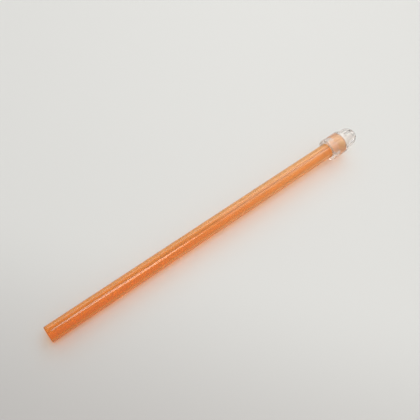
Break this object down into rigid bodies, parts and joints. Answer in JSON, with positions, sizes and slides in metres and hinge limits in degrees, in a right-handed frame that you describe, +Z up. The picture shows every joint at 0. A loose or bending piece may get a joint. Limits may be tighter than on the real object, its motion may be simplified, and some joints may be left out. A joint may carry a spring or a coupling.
{
  "type": "saliva ejector",
  "caption": "Bendable transparent suction tube for dentistry, with a memory wire in its wall and a soft clear slotted cap on its tip.",
  "frame": {"origin": "centre of the tube's rear cut end, the end that goes into the suction valve", "axes": "+X along the tube to the tip, +Z up from the surface that the ejector lies on"},
  "size_m": [0.15, 0.0096, 0.0096],
  "materials": {
    "tube": "transparent orange, glossy",
    "wire": "bright drawn wire",
    "cap": "clear, soft, slightly hazy"
  },
  "bodies": {
    "rear": {"tube_rear": "tube", "wire_rear": "wire"},
    "bend_01": {"tube_bend_01": "tube", "wire_bend_01": "wire"},
    "bend_02": {"tube_bend_02": "tube", "wire_bend_02": "wire"},
    "bend_03": {"tube_bend_03": "tube", "wire_bend_03": "wire"},
    "bend_04": {"tube_bend_04": "tube", "wire_bend_04": "wire"},
    "bend_05": {"tube_bend_05": "tube", "wire_bend_05": "wire"},
    "bend_06": {"tube_bend_06": "tube", "wire_bend_06": "wire"},
    "bend_07": {"tube_bend_07": "tube", "wire_bend_07": "wire"},
    "bend_08": {"tube_bend_08": "tube", "wire_bend_08": "wire"},
    "bend_09": {"tube_bend_09": "tube", "wire_bend_09": "wire"},
    "front": {"tube_front": "tube", "wire_front": "wire"},
    "cap": {"tip_cap": "cap"}
  },
  "joints": [
    {"name": "tube_bend", "type": "hinge", "parent": "rear", "child": "bend_01", "pos_m": [0.06, 0, 0], "axis": [0, 0, 1], "range_deg": [-18, 18]},
    {"name": "tube_bend_02", "type": "hinge", "parent": "bend_01", "child": "bend_02", "pos_m": [0.0655, 0, 0], "axis": [0, 0, 1], "range_deg": [-18, 18]},
    {"name": "tube_bend_03", "type": "hinge", "parent": "bend_02", "child": "bend_03", "pos_m": [0.071, 0, 0], "axis": [0, 0, 1], "range_deg": [-18, 18]},
    {"name": "tube_bend_04", "type": "hinge", "parent": "bend_03", "child": "bend_04", "pos_m": [0.0765, 0, 0], "axis": [0, 0, 1], "range_deg": [-18, 18]},
    {"name": "tube_bend_05", "type": "hinge", "parent": "bend_04", "child": "bend_05", "pos_m": [0.082, 0, 0], "axis": [0, 0, 1], "range_deg": [-18, 18]},
    {"name": "tube_bend_06", "type": "hinge", "parent": "bend_05", "child": "bend_06", "pos_m": [0.0875, 0, 0], "axis": [0, 0, 1], "range_deg": [-18, 18]},
    {"name": "tube_bend_07", "type": "hinge", "parent": "bend_06", "child": "bend_07", "pos_m": [0.093, 0, 0], "axis": [0, 0, 1], "range_deg": [-18, 18]},
    {"name": "tube_bend_08", "type": "hinge", "parent": "bend_07", "child": "bend_08", "pos_m": [0.0985, 0, 0], "axis": [0, 0, 1], "range_deg": [-18, 18]},
    {"name": "tube_bend_09", "type": "hinge", "parent": "bend_08", "child": "bend_09", "pos_m": [0.104, 0, 0], "axis": [0, 0, 1], "range_deg": [-18, 18]},
    {"name": "tube_bend_10", "type": "hinge", "parent": "bend_09", "child": "front", "pos_m": [0.1095, 0, 0], "axis": [0, 0, 1], "range_deg": [-18, 18]},
    {"name": "cap_pull", "type": "slide", "parent": "front", "child": "cap", "axis": [1, 0, 0], "range_m": [0, 0.01]}
  ],
  "couplings": [
    {"joint": "tube_bend_02", "follows": "tube_bend", "ratio": 1},
    {"joint": "tube_bend_03", "follows": "tube_bend", "ratio": 1},
    {"joint": "tube_bend_04", "follows": "tube_bend", "ratio": 1},
    {"joint": "tube_bend_05", "follows": "tube_bend", "ratio": 1},
    {"joint": "tube_bend_06", "follows": "tube_bend", "ratio": 1},
    {"joint": "tube_bend_07", "follows": "tube_bend", "ratio": 1},
    {"joint": "tube_bend_08", "follows": "tube_bend", "ratio": 1},
    {"joint": "tube_bend_09", "follows": "tube_bend", "ratio": 1},
    {"joint": "tube_bend_10", "follows": "tube_bend", "ratio": 1}
  ]
}
